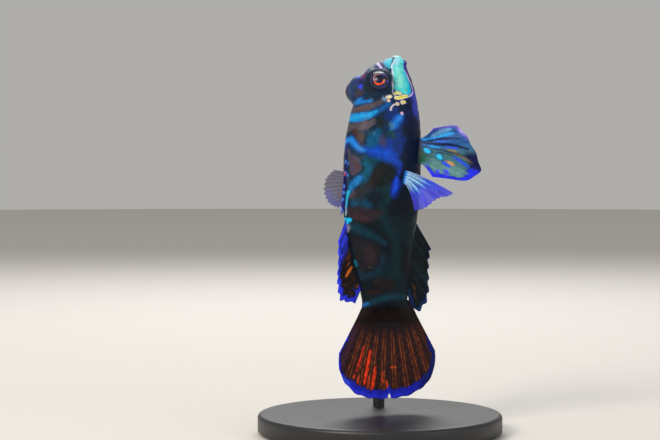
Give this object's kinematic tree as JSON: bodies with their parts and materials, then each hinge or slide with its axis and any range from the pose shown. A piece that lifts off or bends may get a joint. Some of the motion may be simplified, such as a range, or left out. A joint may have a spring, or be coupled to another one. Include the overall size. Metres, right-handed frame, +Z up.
{
  "type": "mandarinfish display model",
  "caption": "Life-size still model of a mandarinfish swimming head up, with spread paired fins, held by a rod on a round base.",
  "frame": {"origin": "centre of the underside of the round stand base", "axes": "+Z up, towards the fish's head; the back faces -X, the belly +X and the right flank -Y"},
  "size_m": [0.05, 0.05, 0.0774],
  "materials": {
    "body_skin": "wet, blue bands on rust brown",
    "fin_skin": "wet, blue",
    "tail_fin_skin": "wet, orange rays with a blue edge",
    "eye_wet": "wet, polished",
    "stand_metal": "satin black"
  },
  "bodies": {
    "root": {"head": "body_skin", "trunk": "body_skin", "tail_stalk": "body_skin", "eye_right": "eye_wet", "eye_left": "eye_wet", "first_dorsal_fin": "fin_skin", "second_dorsal_fin": "fin_skin", "anal_fin": "fin_skin", "caudal_fin": "tail_fin_skin", "pectoral_fin_right": "fin_skin", "pectoral_fin_left": "fin_skin", "pelvic_fin_right": "fin_skin", "pelvic_fin_left": "fin_skin", "stand_base": "stand_metal", "stand_rod": "stand_metal"}
  },
  "joints": []
}
